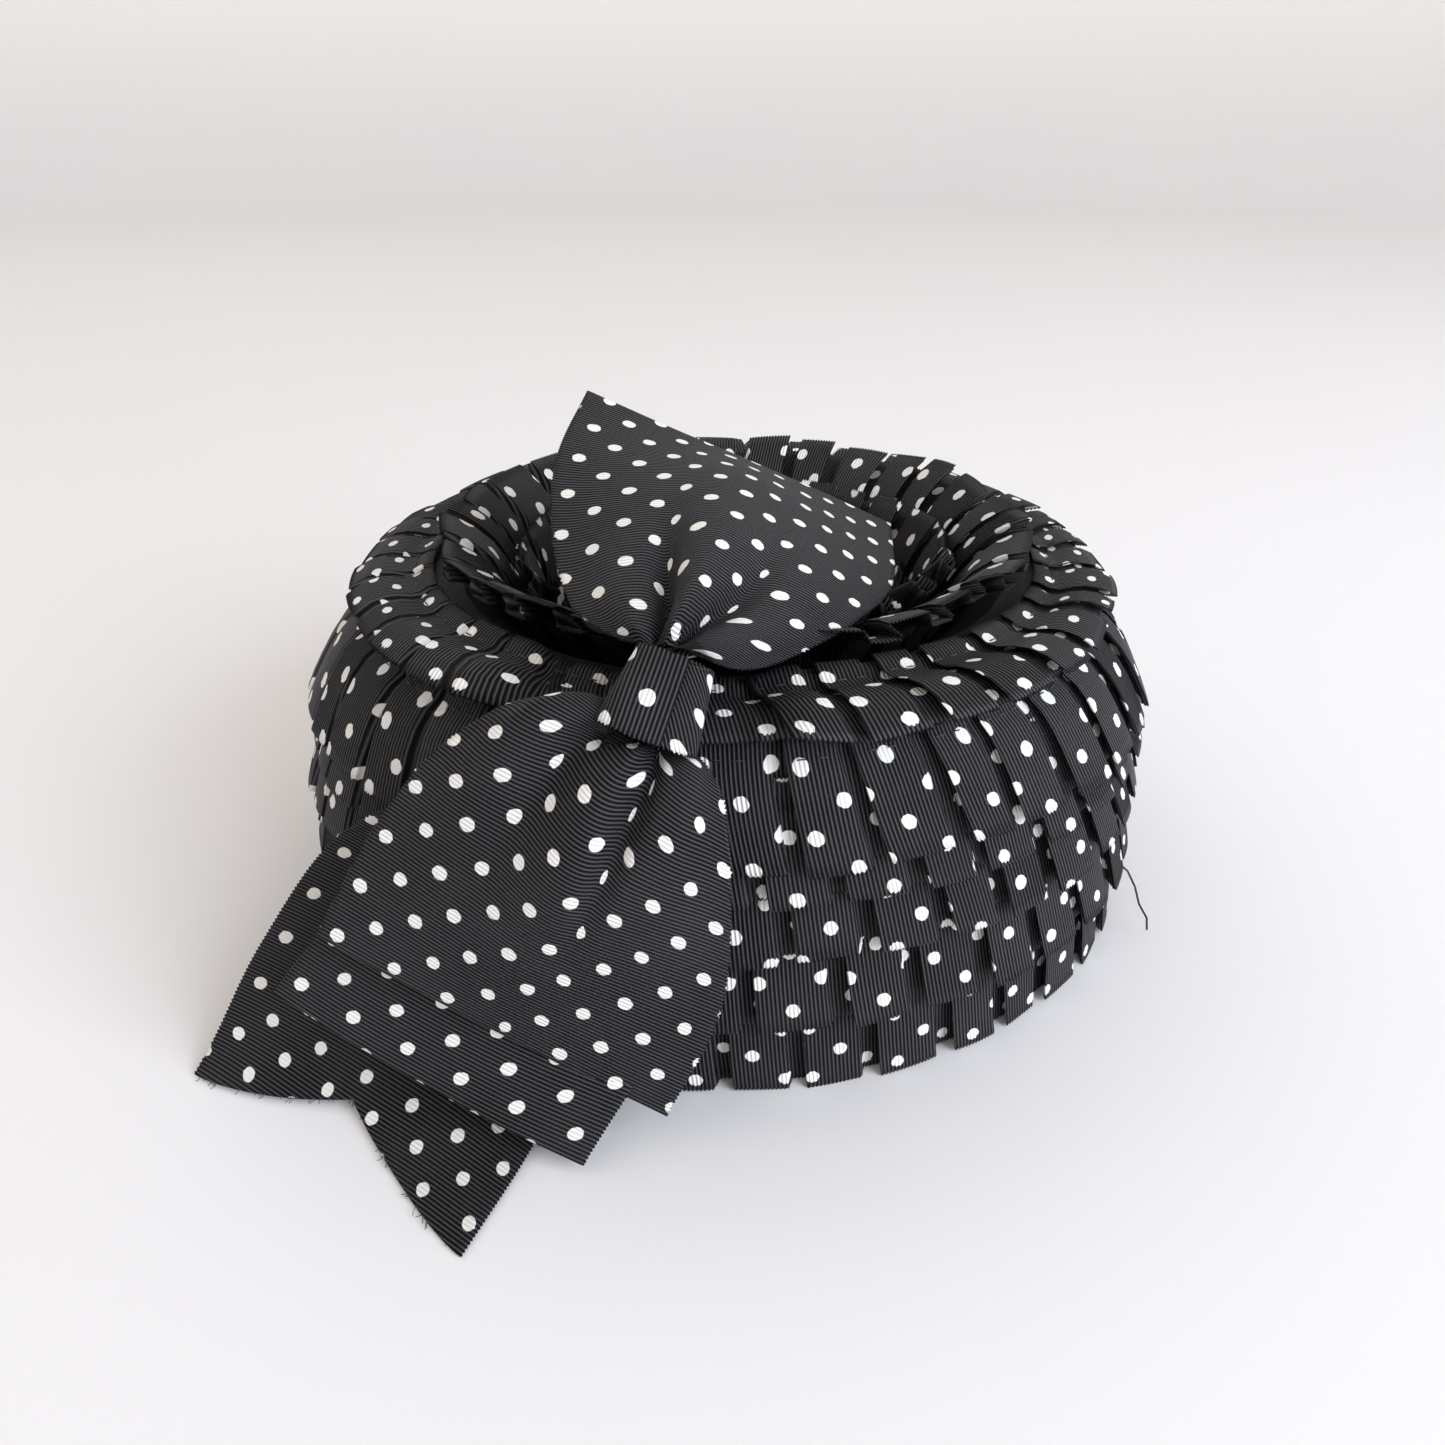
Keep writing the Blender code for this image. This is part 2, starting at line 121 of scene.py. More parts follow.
SECOND_LOOP = (
    ((-20, -82.5, 77), (-17, -84, 76), (-14, -85.5, 75.5), (-11, -86.5, 75), (-8, -87, 74.5)),
    ((-45, -80.5, 66), (-35, -84.5, 62.5), (-25, -88.5, 59), (-15, -90.5, 57), (-5, -91.5, 55)),
    ((-68, -81, 48), (-53.5, -86, 42.5), (-39, -90, 37), (-25, -93, 31), (-11, -95, 26)),
    ((-87, -86, 27), (-72, -92, 20.5), (-57, -97, 14), (-41.5, -102.5, 8.5), (-26, -107, 3.4)),
)
TAIL = (
    ((-21, -80, 75), (-18.5, -81.5, 73.5), (-16, -83, 72.5), (-12.5, -84, 71.5), (-9, -85, 71)),
    ((-49, -74, 66), (-40.5, -78.5, 60), (-32, -82.5, 54), (-22.5, -85.5, 50), (-13, -88, 47)),
    ((-76, -66.5, 50), (-64, -73.5, 40.5), (-52, -80, 32), (-38, -85, 25.5), (-24, -88.5, 20)),
    ((-95, -71, 26), (-80.5, -77.5, 19), (-66, -83, 13), (-49.5, -89, 8.5), (-33, -94, 5)),
    ((-106, -78, 7), (-90, -84, 4.5), (-74, -91, 3), (-56, -98, 2), (-38, -105, 1.4)),
    ((-110, -83, 0.7), (-94, -93, 0.7), (-78, -103, 0.7), (-62, -113, 0.7), (-46, -124, 0.7)),
)
UPPER_LOOP = (
    ((-15, -78.5, 98), (-12.5, -80, 98.5), (-10, -80.5, 98.5), (-7, -80.5, 98), (-4.5, -80.5, 96.5)),
    ((-20, -74, 98), (-13, -76, 100), (-6, -73.5, 103), (-1, -77, 99), (3, -79, 93)),
    ((-27, -66, 100), (-16, -65, 104), (-3, -61, 107), (7, -69, 99), (12, -70, 91)),
    ((-32, -49, 107), (-17, -49, 109), (0, -47, 109.5), (15, -52, 101), (26, -52, 90)),
    ((-33, -28, 115), (-15, -28, 113), (3, -26, 110), (20, -29, 101), (36, -30, 89)),
    ((-29, -4, 122.0), (-11.5, -3, 114), (5, -1, 106.5), (22.5, 2, 98), (40, 5, 89)),
)
TAIL_NOTCH = 12.5


# Mesh helpers

def spline(points, count):
    """Catmull-Rom curve along the first axis, with count samples spread evenly in the parameter."""
    pts = np.asarray(points, float)
    ends = np.concatenate([[2 * pts[0] - pts[1]], pts, [2 * pts[-1] - pts[-2]]])
    at = np.linspace(0, len(pts) - 1, count)
    i = np.minimum(at.astype(int), len(pts) - 2)
    t = (at - i).reshape((-1,) + (1,) * (pts.ndim - 1))
    a, b, c, d = (ends[i + k] for k in range(4))
    return 0.5 * (2 * b + (c - a) * t + (2 * a - 5 * b + 4 * c - d) * t ** 2
                  + (3 * b - a - 3 * c + d) * t ** 3)


SHAPE_CURVE = spline(SHAPE, 8 * (len(SHAPE) - 1) + 1)
SHAPE_STEPS = np.linalg.norm(np.diff(SHAPE_CURVE[:, [0, 2]], axis=0), axis=1)
SHAPE_RUN = np.concatenate([[0.0], np.cumsum(SHAPE_STEPS)])
SHAPE_TOP = max(height for depth, width, height in SHAPE)


def net_point(run, angle):
    """Points on the net at a distance along its front profile and an angle round the hat."""
    depth, width, height = (np.interp(run, SHAPE_RUN, SHAPE_CURVE[:, k]) for k in range(3))
    lean = LEAN * (height / SHAPE_TOP) ** 2
    return np.stack([width * np.cos(angle) + lean, depth * np.sin(angle), height], -1)


def on_hat(run, angle, lift):
    """Points above the net, lifted square to it."""
    run, angle, lift = np.broadcast_arrays(run, angle, lift)
    along = net_point(run + 1.5, angle) - net_point(run - 1.5, angle)
    around = net_point(run, angle + 0.02) - net_point(run, angle - 0.02)
    return net_point(run, angle) + lift[..., None] * unit(np.cross(around, along))


def arc_rate(run, angle):
    """Millimetres round the hat for each radian."""
    depth, width = (np.interp(run, SHAPE_RUN, SHAPE_CURVE[:, k]) for k in (0, 1))
    return np.hypot(width * np.sin(angle), depth * np.cos(angle))


def press(angle):
    """Share of its lift that the top row keeps; less at the two sides and where the bow presses it flat."""
    away = np.abs((angle - BOW_ANGLE + math.pi) % (2 * math.pi) - math.pi)
    fade = np.clip((away - PRESS_HALF) / PRESS_FADE, 0, 1)
    under_bow = PRESSED_LIFT + (1 - PRESSED_LIFT) * fade * fade * (3 - 2 * fade)
    return under_bow * (1 - SIDE_PRESS * np.cos(angle) ** 2)


def unit(vectors):
    return vectors / np.maximum(np.linalg.norm(vectors, axis=-1, keepdims=True), 1e-9)


def normals(grid):
    return unit(np.cross(np.gradient(grid, axis=0), np.gradient(grid, axis=1)))


def ease(value):
    value = np.clip(value, 0, 1)
    return value * value * (3 - 2 * value)


def run_of(grid, axis):
    """Real length along the grid lines of one axis, from their start."""
    steps = np.linalg.norm(np.diff(grid, axis=axis), axis=-1)
    return np.concatenate([np.zeros_like(np.take(steps, [0], axis)), np.cumsum(steps, axis)], axis)


def link(name, data):
    obj = bpy.data.objects.new(name, data)
    bpy.context.scene.collection.objects.link(obj)
    return obj


def grid_mesh(name, grid):
    """A smooth mesh of quads from a grid of points in metres."""
    rows, cols = grid.shape[:2]
    index = np.arange(rows * cols).reshape(rows, cols)
    faces = np.stack([index[:-1, :-1], index[1:, :-1], index[1:, 1:], index[:-1, 1:]], -1).reshape(-1, 4)
    mesh = bpy.data.meshes.new(name)
    mesh.from_pydata(grid.reshape(-1, 3).tolist(), [], faces.tolist())
    mesh.polygons.foreach_set("use_smooth", [True] * len(mesh.polygons))
    return mesh


def cloth_piece(name, grid, cloth, mats):
    """A cloth piece from a grid of points in mm; cloth holds each point's place on the flat ribbon."""
    mesh = grid_mesh(name, (grid + HAT_AXIS) * MM)
    layer = mesh.uv_layers.new(name="cloth")
    loops = np.empty(len(mesh.loops), int)
    mesh.loops.foreach_get("vertex_index", loops)
    layer.data.foreach_set("uv", (cloth.reshape(-1, 2)[loops] * MM).ravel())
    for mat in mats:
        mesh.materials.append(mat)
    piece = link(name, mesh)
    shell = piece.modifiers.new("Solidify", "SOLIDIFY")
    shell.thickness = THICK * MM
    shell.offset = -1
    if len(mats) > 1:            # the second material covers the back and the cut edges
        shell.material_offset = 1
        shell.material_offset_rim = 1
    return piece


def stand_for(piece, node, body):
    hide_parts(node)
    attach(piece, body)


# Materials

LINT_COLOUR = (0.06, 0.057, 0.06, 1)
THIN_INK = (0.30, 0.29, 0.30, 1)
FULL_INK = (0.86, 0.84, 0.82, 1)


class Nodes:
    """Short calls for building a shader."""

    def __init__(self, name):
        self.mat = bpy.data.materials.new(name)
        self.mat.use_nodes = True
        self.tree = self.mat.node_tree
        self.shader = self.tree.nodes["Principled BSDF"]

    def put(self, socket, value):
        if isinstance(value, bpy.types.NodeSocket):
            self.tree.links.new(value, socket)
        else:
            socket.default_value = value

    def add(self, kind, inputs=(), **settings):
        node = self.tree.nodes.new(kind)
        for key, value in settings.items():
            setattr(node, key, value)
        for key, value in dict(inputs).items():
            self.put(node.inputs[key], value)
        return node

    def math(self, operation, a, b=0.0, c=0.0):
        return self.add("ShaderNodeMath", {0: a, 1: b, 2: c}, operation=operation).outputs[0]

    def mix(self, factor, a, b):
        node = self.add("ShaderNodeMix", {0: factor, 6: a, 7: b}, data_type="RGBA")
        return node.outputs[2]

    def step(self, value, low, high):
        node = self.add("ShaderNodeMapRange", {0: value, 1: low, 2: high, 3: 0.0, 4: 1.0},
                        interpolation_type="SMOOTHSTEP")
        return node.outputs[0]

    def noise(self, vector, scale, detail):
        node = self.add("ShaderNodeTexNoise", {"Vector": vector, "Scale": scale, "Detail": detail})
        return node.outputs[0]

    def wave(self, operation, value, pitch):
        """SINE or COSINE of a length in metres, with its pitch in mm."""
        return self.math(operation, self.math("MULTIPLY", value, 2 * math.pi / (pitch * MM)))

    def bump(self, height, strength, distance):
        node = self.add("ShaderNodeBump", {"Strength": strength, "Distance": distance, "Height": height})
        return node.outputs[0]

    def cloth(self):
        """Place on the flat cloth, in metres."""
        return self.add("ShaderNodeUVMap", uv_map="cloth").outputs[0]

    def place(self):
        """Place on the object, in metres."""
        return self.add("ShaderNodeTexCoord").outputs["Object"]

    def parts(self, vector):
        return self.add("ShaderNodeSeparateXYZ", {0: vector}).outputs

    def out(self, **values):
        for key, value in values.items():
            self.put(self.shader.inputs[key.replace("_", " ")], value)
        return self.mat


def dot_ink(n, cloth, u, v):
    """Share of printed ink: round dots, each a little off its lattice place and size, with a ragged edge."""
    a = n.math("DIVIDE", n.math("ADD", u, v), DOT_REPEAT * MM)
    b = n.math("DIVIDE", n.math("SUBTRACT", u, v), DOT_REPEAT * MM)
    cell = n.add("ShaderNodeCombineXYZ", {0: n.math("FLOOR", a), 1: n.math("FLOOR", b)}).outputs[0]
    luck = n.add("ShaderNodeTexWhiteNoise", {"Vector": cell})
    shift = n.add("ShaderNodeSeparateColor", {0: luck.outputs[1]}).outputs
    da = n.math("SUBTRACT", n.math("FRACT", a), n.math("MULTIPLY_ADD", shift[0], 0.03, 0.485))
    db = n.math("SUBTRACT", n.math("FRACT", b), n.math("MULTIPLY_ADD", shift[1], 0.03, 0.485))
    far = n.math("SQRT", n.math("ADD", n.math("MULTIPLY", da, da), n.math("MULTIPLY", db, db)))
    ragged = n.math("MULTIPLY_ADD", n.noise(cloth, scale=900.0, detail=1.0), 0.05, -0.025)
    size = n.math("MULTIPLY_ADD", luck.outputs[0], 0.014, -0.007)
    edge = n.math("ADD", far, n.math("ADD", ragged, size))
    radius = DOT_RADIUS / (DOT_REPEAT / math.sqrt(2))
    return n.math("SUBTRACT", 1.0, n.step(edge, radius - 0.008, radius + 0.012))


def ribbon_material(name, dotted, valley, crest_highlight):
    """Grosgrain: ribs across the ribbon with painted shade and painted highlights, a soft sheen, lint, and
    printed dots on the face.
    """
    n = Nodes(name)
    cloth = n.cloth()
    u, v = n.parts(cloth)[:2]
    crest = n.math("MULTIPLY_ADD", n.wave("COSINE", u, RIB), 0.5, 0.5)
    yarn = n.wave("COSINE", v, YARN)
    patches = n.noise(cloth, scale=45.0, detail=3.0)
    lint = n.noise(cloth, scale=2600.0, detail=2.0)
    uneven = n.math("MULTIPLY_ADD", patches, 0.3, -0.12)
    # Painted light: the colour runs from painted shade in the rib valleys to a painted highlight on the
    # crests, with random patches of tone.
    rib_shading_and_patches = n.math("MULTIPLY_ADD", n.math("POWER", crest, 3.0), 0.95, uneven)
    colour = n.mix(rib_shading_and_patches, valley, crest_highlight)
    colour = n.mix(n.step(lint, 0.66, 0.8), colour, LINT_COLOUR)
    rough = n.math("MULTIPLY_ADD", crest, -0.35, n.math("MULTIPLY_ADD", patches, 0.16, 0.72))
    if dotted:
        ink = dot_ink(n, cloth, u, v)
        white = n.mix(n.math("MULTIPLY_ADD", crest, 0.16, 0.84), THIN_INK, FULL_INK)
        colour = n.mix(ink, colour, white)
        rough = n.math("MULTIPLY_ADD", ink, 0.1, rough)
    weave = n.math("ADD", n.math("MULTIPLY", yarn, 0.06), n.math("MULTIPLY", lint, 0.1))
    bump = n.bump(n.math("ADD", crest, weave), strength=0.9, distance=0.00022)
    return n.out(Base_Color=colour, Roughness=rough, Normal=bump, Sheen_Weight=0.015,
                 Sheen_Roughness=0.4, Sheen_Tint=(0.8, 0.85, 1.0, 1), Specular_IOR_Level=0.15)


def net_material():
    """Stiff black net: crossed threads with a dull size finish."""
    n = Nodes("black_net_visual")
    x, y, z = n.parts(n.place())[:3]
    turned = n.math("MULTIPLY", n.math("ARCTAN2", y, x), 260.0)
    raised = n.math("MULTIPLY", z, 3200.0)
    a = n.math("SINE", n.math("ADD", turned, raised))
    b = n.math("SINE", n.math("SUBTRACT", turned, raised))
    thread = n.step(n.math("MAXIMUM", a, b), 0.2, 0.8)
    colour = n.mix(thread, (0.002, 0.002, 0.002, 1), (0.03, 0.03, 0.033, 1))
    return n.out(Base_Color=colour, Roughness=0.62, Normal=n.bump(thread, strength=0.7, distance=0.0002))


def lining_material():
    """Soft lining cloth: fine plain weave with a satin sheen and small creases, with painted shade in their
    hollows.
    """
    n = Nodes("lining_cloth_visual")
    cloth = n.cloth()
    u, v = n.parts(cloth)[:2]
    weave = n.math("MULTIPLY", n.wave("SINE", u, LINING_WEAVE), n.wave("SINE", v, LINING_WEAVE))
    crease = n.noise(cloth, scale=60.0, detail=4.0)
    # Painted shade: the colour darkens where the creases sink.
    colour = n.mix(crease, (0.009, 0.009, 0.011, 1), (0.024, 0.023, 0.028, 1))
    height = n.math("ADD", n.math("MULTIPLY", weave, 0.2), n.math("MULTIPLY", crease, 1.5))
    return n.out(Base_Color=colour, Roughness=0.42, Normal=n.bump(height, strength=0.4, distance=0.0003),
                 Sheen_Weight=0.2)


def wire_material():
    """Steel wire with dull stains."""
    n = Nodes("edge_wire_visual")
    stain = n.noise(n.place(), scale=300.0, detail=3.0)
    colour = n.mix(stain, (0.30, 0.29, 0.28, 1), (0.46, 0.46, 0.47, 1))
    return n.out(Base_Color=colour, Metallic=1.0, Roughness=n.math("MULTIPLY_ADD", stain, 0.2, 0.3))


def thread_material():
    """Twisted black sewing thread."""
    n = Nodes("thread_visual")
    x, _, z = n.parts(n.place())[:3]
    twist = n.math("SINE", n.math("MULTIPLY", n.math("ADD", z, x), 6000.0))
    colour = n.mix(n.math("MULTIPLY_ADD", twist, 0.5, 0.5), (0.01, 0.01, 0.012, 1), (0.05, 0.05, 0.055, 1))
    return n.out(Base_Color=colour, Roughness=0.55)


# Valley colours are painted shade in the rib valleys, and peak colours are painted highlights on the rib
# crests, bluish on the face.
FACE = ribbon_material("dotted_face", True, (0.001, 0.001, 0.001, 1), (0.074, 0.071, 0.080, 1))
BACK = ribbon_material("plain_back", False, (0.002, 0.002, 0.0022, 1), (0.018, 0.018, 0.02, 1))
PRINTED = (FACE, BACK)           # dots on the outside, plain inside
THREAD = thread_material()


# Rows

def section_stations(stations):
    """Run and lift of the row's stations, spread evenly over the real width of the ribbon."""
    samples = np.arange(60)
    curve = spline(stations, len(samples))
    width = run_of(on_hat(curve[:, 0], -math.pi / 2, curve[:, 1]), 0)
    share = np.interp(ACROSS_ROW * width[-1], width, samples)
    return tuple(np.interp(share, samples, curve[:, k]) for k in (0, 1))


def pleated_row(name, seed):
    """One ribbon of knife pleats: a face, a tuck that turns back under it, then the next fold."""
    pleats, rises, slant, disorder, stations = ROWS[name]
    luck = np.random.default_rng(seed)
    run, lift = section_stations(stations)
    rise = rises[0] + ACROSS_ROW * (rises[1] - rises[0])
    step = 2 * math.pi / pleats

    # Each fold's place and slant, how far it flares, its height, how far it drops, and the bulge of its face
    folds = step * (np.arange(pleats) + luck.uniform(-0.12, 0.12, pleats) * disorder) + luck.uniform(0, step)
    sway = slant + luck.normal(0, 0.8, pleats) * disorder
    flare = luck.uniform(0, 1.3, pleats) * disorder
    height = 1 + luck.uniform(-0.2, 0.25, pleats)
    drop = luck.normal(0, 0.4, pleats) * disorder
    bulge = luck.uniform(-0.1, 0.5, pleats)

    used = luck.uniform(0, 40)       # length of ribbon used so far, from a start of its own
    columns, cloth, on_face = [], [], []
    for k in range(pleats):
        nxt = (k + 1) % pleats
        start, end = folds[k], folds[nxt] + (2 * math.pi if nxt == 0 else 0)
        rate = arc_rate(run, start + step / 2)
        start = start + sway[k] * ACROSS_ROW ** 1.3 / rate
        end = end + sway[nxt] * ACROSS_ROW ** 1.3 / rate
        pitch = (end - start) * rate
        total = pitch.max() + 2 * LEAST_TUCK
        tuck = (total - pitch) / 2
        for j, c in enumerate(np.arange(0, total - 0.2, RIB / 2)):
            # c runs along the ribbon: out over the face, on under the next pleat, then back to its fold
            back = np.clip((c - pitch - tuck) / tuck, 0, 1)
            across = np.where(back > 0, 2 * (pitch + tuck) - c, c)
            level = 1 - ease((c / pitch - FACE_END) / (DIVE_END - FACE_END))
            slope = 1 - 0.22 * np.clip(c / (pitch + tuck), 0, 1)
            swell = bulge[k] * np.sin(math.pi * np.clip(c / pitch, 0, 1)) * (0.3 + ACROSS_ROW)
            face_height = (rise * height[k] * slope + swell) * level + 0.15
            high = np.where(back > 0, rise * height[nxt] * (0.12 + 0.8 * back), face_height)
            blend = np.where(back > 0, 1.0, np.clip(across / pitch, 0, 1))
            tooth = 1 if j % 2 else -1
            high += (flare[k] * (1 - blend) + flare[nxt] * blend) * ACROSS_ROW ** 2 + RIB_RELIEF * tooth
            high[SEAM] -= SEAM_DIP
            at = run - (drop[k] * (1 - blend) + drop[nxt] * blend) * ACROSS_ROW
            at[0] += SERRATION * tooth
            at[-1] -= SERRATION * tooth
            angle = start + across / rate
            kept = press(angle) if name == PRESSED_ROW else 1.0
            columns.append(on_hat(at, angle, (lift + high) * kept))
            cloth.append(np.stack([np.full(len(run), used + c), RIBBON * ACROSS_ROW + 1.7 * (seed % 5)], -1))
            on_face.append(c < pitch[SEAM] * FACE_END)
        used += total

    grid = np.stack(columns, 1)
    row = cloth_piece(name + "_ribbon", grid, np.stack(cloth, 1), PRINTED)
    stand_for(row, name, "hat")
    if name in STITCHED_ROWS:
        stitching(name + "_stitching", grid[SEAM], on_face)


def thread_piece(name, strands, radius, body):
    """One object of short threads, each through its own points."""
    curve = bpy.data.curves.new(name, "CURVE")
    curve.dimensions = "3D"
    curve.bevel_depth = radius * MM
    curve.bevel_resolution = 2
    curve.use_fill_caps = True
    curve.materials.append(THREAD)
    for strand in strands:
        part = curve.splines.new("POLY")
        part.points.add(len(strand) - 1)
        for point, place in zip(part.points, (strand + HAT_AXIS) * MM):
            point.co = (*place, 1)
    piece = link(name, curve)
    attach(piece, body)


def stitching(name, line, on_face):
    """Running stitches along a row's stitch line, on the faces of its pleats."""
    long, gap = (int(size / RIB * 2) for size in (STITCH, STITCH_GAP))
    at, strands = 0, []
    while at + long < len(line):
        if all(on_face[at:at + long]):
            points = line[at:at + long:2]
            out = unit(points * (1, 1, 0)) * 0.5 + np.array((0.0, 0.0, 0.5))
            rise = STITCH_RADIUS + 0.35 * np.sin(np.linspace(0, math.pi, len(points)))
            strands.append(points + out * rise[:, None])
        at += long + gap
    thread_piece(name, strands, STITCH_RADIUS, "hat")


# Bow

def loft(sections, spacing, columns):
    """Even grid over sections: rows along the ribbon, columns across it."""
    rails = spline(sections, 240)
    run = run_of(rails, 0)[:, rails.shape[1] // 2]
    even = np.linspace(0, run[-1], int(run[-1] / spacing) + 1)
    at = np.interp(even, run, np.arange(len(run)))
    low = np.minimum(at.astype(int), len(run) - 2)
    part = (at - low)[:, None, None]
    rails = rails[low] * (1 - part) + rails[low + 1] * part
    grid = np.swapaxes(spline(np.swapaxes(rails, 0, 1), columns), 0, 1)
    return grid, even


def front_layer(sections, columns):
    """A loop's front layer, with the share of the way to its fold and the place across from -1 to 1."""
    front, run = loft(sections, RIB / 2, columns)
    return front, (run / run[-1])[:, None], np.linspace(-1, 1, columns)[None, :]


def toothed(grid):
    """Each rib ends as a small tooth at the two selvedges."""
    tooth = np.where(np.arange(len(grid)) % 2, 1.0, -1.0)[:, None]
    out = grid.copy()
    out[:, -1] += unit(grid[:, -1] - grid[:, -2]) * SERRATION * tooth
    out[:, 0] += unit(grid[:, 0] - grid[:, 1]) * SERRATION * tooth
    return out


def cloth_places(grid, width, fold, panels=(0.0,), valleys=()):
    """Place on the flat ribbon of each grid point. Every line along the ribbon reaches row fold at the
    same length. Across it, each panel keeps its own place, and the cloth between two panels is hidden in
    the valley between them. Panels and valleys are places from -1 to 1 across the ribbon."""
    along, across = run_of(grid, 0), run_of(grid, 1)
    columns = grid.shape[1]
    along = along - along[fold] + along[fold, columns // 2]
    w = np.linspace(-1, 1, columns)
    places = []
    for panel in panels:
        column = int(round((panel + 1) / 2 * (columns - 1)))
        places.append(width * (w[column] + 1) / 2 + across - across[:, column:column + 1])
    out = places[0]
    for valley, beyond in zip(valleys, places[1:]):
        out = out + (beyond - out) * ease((w - valley) / 0.08 + 0.5)
    return np.stack([along, out], -1)


def ridge(at, centre, width):
    return np.exp(-((at - centre) / width) ** 2)


def bow_ribbon(node, body, grid, width, seed, fold=-1, panels=(0.0,), valleys=()):
    """One ribbon of the bow. The seed moves its print, so that no two pieces start alike."""
    cloth = cloth_places(grid, width, fold, panels, valleys) + np.array((3.1, 2.3)) * seed
    piece = cloth_piece(node + "_ribbon", toothed(grid), cloth, PRINTED)
    stand_for(piece, node, body)
    length = float(run_of(grid, 0)[-1, grid.shape[1] // 2])


def folded_loop(front, gap, turn):
    """Front layer, a tight turn at the fold, and a back layer that lies gap behind it."""
    facing = normals(front)
    back = front - facing * gap[..., None]
    tip = unit(front[-1] - front[-4])
    arc = [front[-1] - facing[-1] * turn * (1 - math.cos(angle)) + tip * turn * math.sin(angle)
           for angle in math.pi * np.arange(1, 5) / 5]
    return np.concatenate([front, np.array(arc), back[::-1]])


def both_layers(values, rows):
    """Values along the front layer, held through the turn at the fold and run back along the back layer."""
    turn = rows - 2 * len(values)
    return np.concatenate([values, np.repeat(values[-1:], turn, 0), values[::-1]])


def loop_ribbon(node, body, front, folds, gap, turn, seed, panels=(0.0,), valleys=()):
    """A loop from its smooth front layer, the height of the folds on it and the gap to its back layer."""
    front = front + normals(front) * folds[..., None]
    grid = folded_loop(front, gap, turn)
    valleys = [both_layers(valley, len(grid)) if np.ndim(valley) else valley for valley in valleys]
    bow_ribbon(node, body, grid, BOW_RIBBON, seed, len(front), panels, valleys)


def lower_loop():
    front, t, w = front_layer(LOWER_LOOP, 61)
    near_knot = np.exp(-(t / 0.42) ** 2) * np.clip(t / 0.05, 0, 1)
    folds = near_knot * (3.4 * ridge(w, -0.72, 0.2) - 3.6 * ridge(w, -0.36, 0.11)
                         + 2.6 * ridge(w, -0.05, 0.16) + 1.8 * ridge(w, 0.62, 0.25))
    crease = 0.24 - 0.18 * t
    folds += -3.0 * ridge(w, crease, 0.07) * np.exp(-((t - 0.2) / 0.3) ** 2)
    folds += 0.7 * np.sin(5 * w + 3 * t) * np.sin(math.pi * t)
    gap = 1.8 + 4.2 * np.sin(math.pi * t) ** 0.8
    loop_ribbon("bow_lower_loop", "lower_loop", front, folds, gap, 0.9, 1, panels=(-0.68, -0.06, 0.62),
                valleys=(-0.36, crease))


def second_loop():
    front, t, w = front_layer(SECOND_LOOP, 51)
    folds = 0.9 * np.sin(6 * w) * np.exp(-(t / 0.5) ** 2)
    gap = 1.0 + 2.2 * np.sin(math.pi * t)
    loop_ribbon("bow_second_loop", "second_loop", front, folds, gap, 0.8, 2)


def upper_loop():
    """Its sections are taken from right to left, so that the printed face comes out on top."""
    front, t, w = front_layer([section[::-1] for section in UPPER_LOOP], 61)
    near_knot = np.exp(-(t / 0.34) ** 2) * np.clip(t / 0.04, 0, 1)
    folds = near_knot * (2.8 * ridge(w, 0.62, 0.2) - 5.5 * ridge(w, 0.28, 0.08) + 3.6 * ridge(w, -0.02, 0.16)
                         - 4.2 * ridge(w, -0.34, 0.07) + 2.6 * ridge(w, -0.7, 0.25))
    folds += 0.8 * np.sin(4 * w + 2 * t) * np.sin(math.pi * t)
    gap = 1.8 + 5.0 * np.sin(math.pi * t) ** 0.8
    loop_ribbon("bow_upper_loop", "upper_loop", front, folds, gap, 0.9, 3, panels=(-0.67, -0.03, 0.64),
                valleys=(-0.34, 0.28))


def tail():
    """The loose end, cut to a swallowtail, with the frayed threads of its cut edge."""
    whole, run = loft(TAIL, RIB / 2, 61)
    w = np.linspace(-1, 1, whole.shape[1])
    cloth = cloth_places(whole, BOW_RIBBON, -1) + (7.0, 4.0)
    lengths = run_of(whole, 0)
    kept = lengths[-1] - TAIL_NOTCH * (1 - np.abs(w)) ** 1.6
    rows = np.arange(len(whole))
    grid, places = np.empty_like(whole), np.empty_like(cloth)
    for column in range(len(w)):
        at = np.interp(rows / rows[-1] * kept[column], lengths[:, column], rows)
        for out, source in ((grid, whole), (places, cloth)):
            for k in range(source.shape[2]):
                out[:, column, k] = np.interp(at, rows, source[:, column, k])
    piece = cloth_piece("bow_tail_ribbon", toothed(grid), places, PRINTED)
    stand_for(piece, "bow_tail", "tail")
    fraying(grid)


def fraying(grid):
    """Short loose threads along the cut edge of the tail, none of them below the table."""
    luck = np.random.default_rng(5)
    strands = []
    for place in luck.uniform(1.5, grid.shape[1] - 2.5, FRAYED_ENDS):
        column, part = int(place), place % 1
        start = grid[-1, column] * (1 - part) + grid[-1, column + 1] * part
        ahead = unit(grid[-1, column] - grid[-3, column])
        along_cut = unit(grid[-1, column + 1] - grid[-1, column])
        reach = luck.uniform(0.3, 1.0) ** 2 * FRAY_REACH
        bend = luck.uniform(-0.9, 0.9)
        steps = np.linspace(-0.3, 1, 5)[:, None]
        strand = start + reach * (ahead * steps + along_cut * bend * steps ** 2)
        strand[:, 2] = np.maximum(strand[:, 2], 0.25)
        strands.append(strand)
    thread_piece("bow_tail_fraying", strands, FRAY_RADIUS, "tail")


# Knot

KNOT_CENTRE = np.array((-10.0, -84.0, 90.5))
KNOT_LINE = unit(np.array((0.37, 0.45, 0.81)))
KNOT_OUT = unit(np.cross(KNOT_LINE, (1.0, 0.0, 0.0)))
KNOT_SIDE = np.cross(KNOT_OUT, KNOT_LINE)


